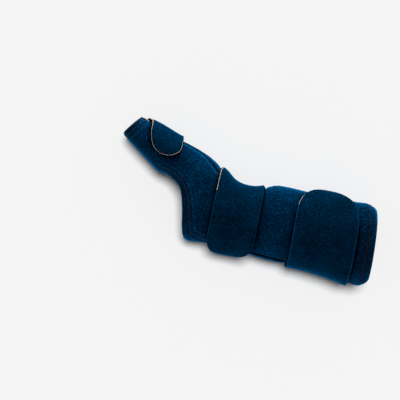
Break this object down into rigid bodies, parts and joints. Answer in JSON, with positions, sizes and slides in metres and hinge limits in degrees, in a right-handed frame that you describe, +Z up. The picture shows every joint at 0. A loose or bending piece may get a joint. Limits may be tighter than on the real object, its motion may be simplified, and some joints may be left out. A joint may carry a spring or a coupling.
{
  "type": "thumb spica splint",
  "caption": "Soft wrist and thumb splint for a right hand: a padded fabric sleeve round forearm, wrist and thumb, open at palm and fingers, closed by hook-and-loop straps.",
  "frame": {"origin": "middle of the splint's box in plan, on the surface that its back rests on", "axes": "+X along the forearm from the hand to the cuff, +Y to the thumb side, +Z up out of the palm side"},
  "size_m": [0.269, 0.1218, 0.0647],
  "materials": {
    "panel_laminate": "navy brushed loop fabric laminated on foam",
    "strap_laminate": "navy brushed loop fabric laminated on foam, cut edges pale",
    "hook_tape": "black woven hook tape"
  },
  "bodies": {
    "root": {"palm_panel": "panel_laminate", "back_panel": "panel_laminate", "thumb_strap": "strap_laminate", "wrist_strap": "strap_laminate", "forearm_strap": "strap_laminate", "thumb_strap_hook": "hook_tape", "wrist_strap_hook": "hook_tape", "forearm_strap_hook": "hook_tape"}
  },
  "joints": []
}
